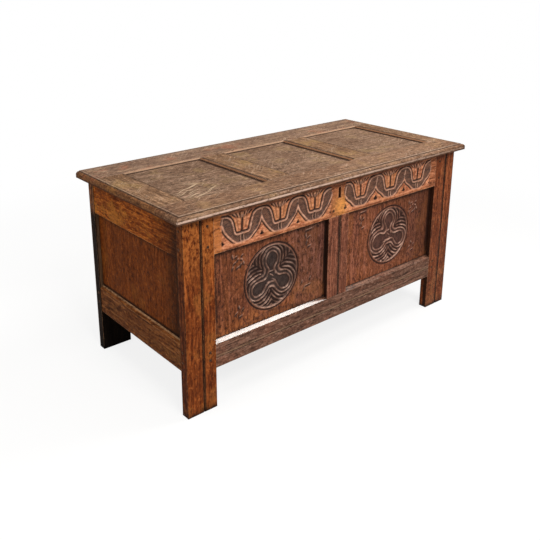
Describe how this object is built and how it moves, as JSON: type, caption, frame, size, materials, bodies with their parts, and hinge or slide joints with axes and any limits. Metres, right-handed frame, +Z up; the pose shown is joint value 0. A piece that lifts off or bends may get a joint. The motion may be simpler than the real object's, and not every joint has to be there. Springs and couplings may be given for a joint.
{
  "type": "coffer chest",
  "caption": "Joined oak coffer chest with carved front, panelled hinged lid, plain panelled sides, leg stiles and an iron lock behind a keyhole.",
  "frame": {"origin": "on the floor, in the middle of the footprint", "axes": "+X to the right along the front, +Y from the front to the back, +Z up"},
  "size_m": [1.31, 0.608, 0.655],
  "materials": {
    "frame_oak": "waxed",
    "panel_oak": "waxed",
    "lid_oak": "faded wax",
    "board_oak": "dry",
    "oak_peg": "waxed",
    "iron": "forged"
  },
  "bodies": {
    "carcase": {"front_left_stile": "frame_oak", "front_right_stile": "frame_oak", "back_left_stile": "frame_oak", "back_right_stile": "frame_oak", "front_top_rail": "frame_oak", "front_bottom_rail": "frame_oak", "front_muntin": "frame_oak", "front_left_panel": "panel_oak", "front_right_panel": "panel_oak", "back_top_rail": "frame_oak", "back_bottom_rail": "frame_oak", "back_muntin": "frame_oak", "back_left_panel": "panel_oak", "back_right_panel": "panel_oak", "left_top_rail": "frame_oak", "left_bottom_rail": "frame_oak", "left_panel": "panel_oak", "right_top_rail": "frame_oak", "right_bottom_rail": "frame_oak", "right_panel": "panel_oak", "bottom_board_1": "board_oak", "bottom_board_2": "board_oak", "bottom_board_3": "board_oak", "bottom_board_4": "board_oak", "bottom_board_5": "board_oak", "bottom_board_6": "board_oak", "front_pegs": "oak_peg", "back_pegs": "oak_peg", "left_pegs": "oak_peg", "right_pegs": "oak_peg", "left_back_strap": "iron", "right_back_strap": "iron", "left_hinge_pin": "iron", "right_hinge_pin": "iron", "back_strap_nails": "iron", "lock_plate": "iron", "lock_cover": "iron", "key_pin": "iron", "lock_nails": "iron"},
    "lid": {"lid_front_rail": "lid_oak", "lid_back_rail": "lid_oak", "lid_left_stile": "lid_oak", "lid_right_stile": "lid_oak", "lid_left_muntin": "lid_oak", "lid_right_muntin": "lid_oak", "lid_left_panel": "lid_oak", "lid_middle_panel": "lid_oak", "lid_right_panel": "lid_oak", "lid_pegs": "oak_peg", "left_lid_strap": "iron", "right_lid_strap": "iron", "lid_nails": "iron", "lock_staple": "iron"},
    "bolt": {"lock_bolt": "iron"}
  },
  "joints": [
    {"name": "lid_hinge", "type": "hinge", "parent": "carcase", "child": "lid", "pos_m": [0, 0.2854, 0.6266], "axis": [-1, 0, 0], "range_deg": [0, 100]},
    {"name": "bolt_slide", "type": "slide", "parent": "carcase", "child": "bolt", "axis": [1, 0, 0], "range_m": [0, 0.014]}
  ]
}
